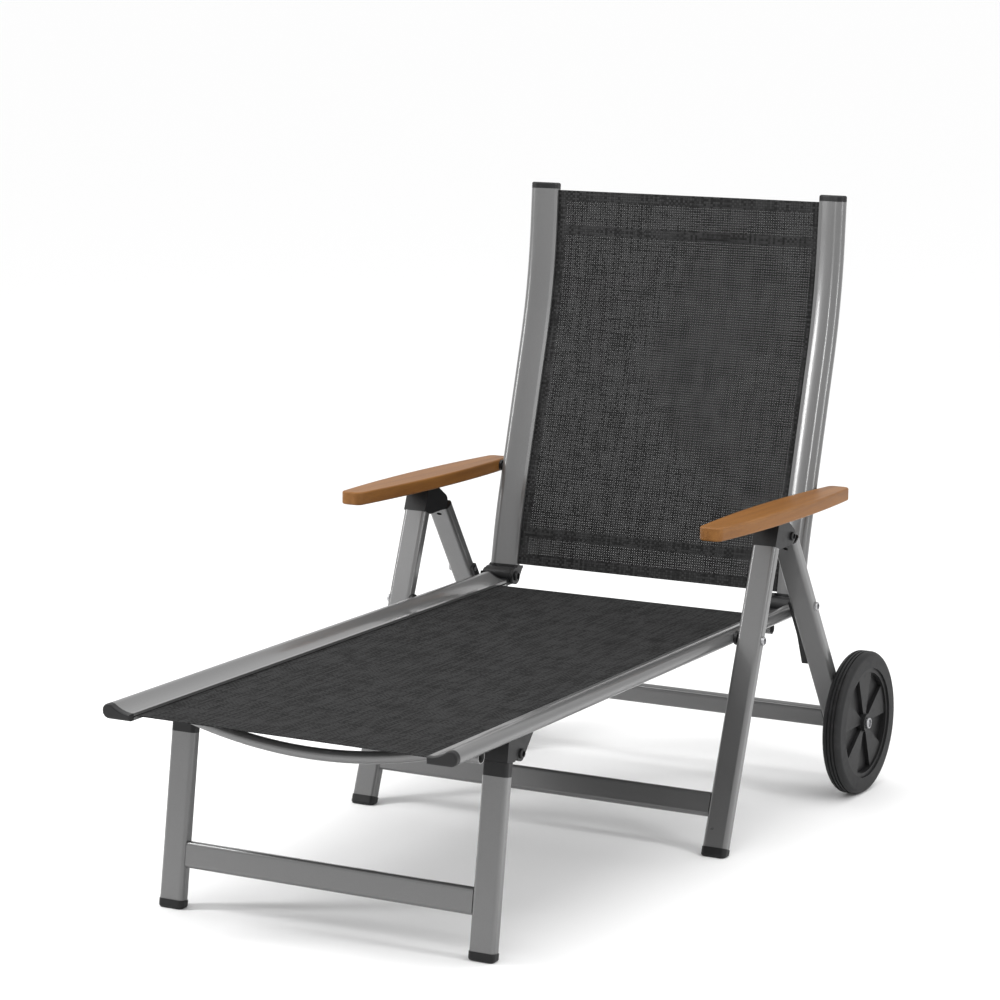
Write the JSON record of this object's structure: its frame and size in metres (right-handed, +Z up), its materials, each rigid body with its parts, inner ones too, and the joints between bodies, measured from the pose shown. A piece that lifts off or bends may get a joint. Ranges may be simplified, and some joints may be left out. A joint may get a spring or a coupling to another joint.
{
  "type": "reclining sun lounger",
  "caption": "Reclining sun lounger with a mesh sling seat and backrest on a silver tube frame, folding legs, rear wheels and wooden armrests.",
  "frame": {"origin": "on the floor under the middle of the lounger's length, in its plane of symmetry", "axes": "+Z up, +Y towards the head end and the wheels, +X to the right of someone looking from the foot end to the head end"},
  "size_m": [0.748, 1.3216, 0.9713],
  "materials": {
    "coated_frame": "satin silver-grey powder coat on aluminium",
    "black_plastic": "matte black moulded plastic",
    "sling_mesh": "woven anthracite mesh with grey slub threads",
    "oiled_wood": "oiled hardwood with fine lengthwise grain",
    "tyre_rubber": "matte black, grooved round the tread",
    "rim_plastic": "dark grey moulded plastic",
    "bolt_steel": "zinc-plated steel"
  },
  "bodies": {
    "seat": {"seat_rail_left": "coated_frame", "seat_rail_right": "coated_frame", "seat_foot_cap_left": "black_plastic", "seat_foot_cap_right": "black_plastic", "seat_bow_tube": "coated_frame", "seat_rear_tube": "coated_frame", "seat_sling": "sling_mesh", "seat_keder_rods": "black_plastic", "seat_hinge_barrel_left": "black_plastic", "seat_hinge_barrel_right": "black_plastic", "front_leg_bracket_left": "black_plastic", "front_leg_bracket_right": "black_plastic", "front_pivot_pins": "black_plastic"},
    "front_legs": {"front_leg_left": "coated_frame", "front_leg_right": "coated_frame", "front_leg_bar": "coated_frame", "front_knuckle_left": "black_plastic", "front_knuckle_right": "black_plastic", "front_feet": "black_plastic"},
    "middle_legs": {"middle_leg_left": "coated_frame", "middle_leg_right": "coated_frame", "middle_leg_bar": "coated_frame", "middle_feet": "black_plastic", "arm_bracket_left": "black_plastic", "arm_bracket_right": "black_plastic", "seat_pivot_bolts": "bolt_steel", "seat_pivot_spacers": "black_plastic", "rear_pivot_pins": "black_plastic"},
    "rear_legs": {"rear_leg_left": "coated_frame", "rear_leg_right": "coated_frame", "rear_leg_bar": "coated_frame", "rear_knuckle_left": "black_plastic", "rear_knuckle_right": "black_plastic", "hinge_saddle_left": "black_plastic", "hinge_saddle_right": "black_plastic", "saddle_bolts": "bolt_steel", "rear_leg_plugs": "black_plastic", "wheel_axle_bolts": "bolt_steel"},
    "wheel_left": {"wheel_rim_left": "rim_plastic", "tyre_left": "tyre_rubber"},
    "wheel_right": {"wheel_rim_right": "rim_plastic", "tyre_right": "tyre_rubber"},
    "backrest": {"back_rail_left": "coated_frame", "back_rail_right": "coated_frame", "back_top_cap_left": "black_plastic", "back_top_cap_right": "black_plastic", "back_upper_tube": "coated_frame", "back_lower_tube": "coated_frame", "back_sling": "sling_mesh", "back_keder_rods": "black_plastic", "back_hinge_cap_left": "black_plastic", "back_hinge_cap_right": "black_plastic", "back_hinge_bolts": "black_plastic", "arm_pivot_bolts": "bolt_steel", "arm_pivot_spacers": "black_plastic"},
    "armrest_left": {"armrest_left": "oiled_wood", "arm_rack_left": "black_plastic"},
    "armrest_right": {"armrest_right": "oiled_wood", "arm_rack_right": "black_plastic"}
  },
  "joints": [
    {"name": "backrest_recline", "type": "hinge", "parent": "seat", "child": "backrest", "pos_m": [0, 0.44722, 0.32], "axis": [-1, 0, 0], "range_deg": [0, 75]},
    {"name": "armrest_left_follow", "type": "hinge", "parent": "backrest", "child": "armrest_left", "pos_m": [-0.3155, 0.50125, 0.49698], "axis": [-1, 0, 0], "range_deg": [-46.65, 0]},
    {"name": "armrest_right_follow", "type": "hinge", "parent": "backrest", "child": "armrest_right", "pos_m": [0.3155, 0.50125, 0.49698], "axis": [-1, 0, 0], "range_deg": [-46.65, 0]},
    {"name": "front_leg_fold", "type": "hinge", "parent": "seat", "child": "front_legs", "pos_m": [0, -0.46548, 0.281], "axis": [1, 0, 0], "range_deg": [0, 80]},
    {"name": "frame_fold", "type": "hinge", "parent": "seat", "child": "middle_legs", "pos_m": [0, 0.20522, 0.316], "axis": [-1, 0, 0], "range_deg": [0, 56]},
    {"name": "rear_leg_close", "type": "hinge", "parent": "middle_legs", "child": "rear_legs", "pos_m": [0, 0.30906, 0.46366], "axis": [-1, 0, 0], "range_deg": [0, 50]},
    {"name": "wheel_left_spin", "type": "hinge", "parent": "rear_legs", "child": "wheel_left", "pos_m": [-0.354, 0.54328, 0.1175], "axis": [1, 0, 0], "continuous": true},
    {"name": "wheel_right_spin", "type": "hinge", "parent": "rear_legs", "child": "wheel_right", "pos_m": [0.354, 0.54328, 0.1175], "axis": [1, 0, 0], "continuous": true}
  ],
  "couplings": [
    {"joint": "armrest_left_follow", "follows": "backrest_recline", "ratio": -0.622},
    {"joint": "armrest_right_follow", "follows": "backrest_recline", "ratio": -0.622},
    {"joint": "rear_leg_close", "follows": "frame_fold", "ratio": 0.89286}
  ]
}
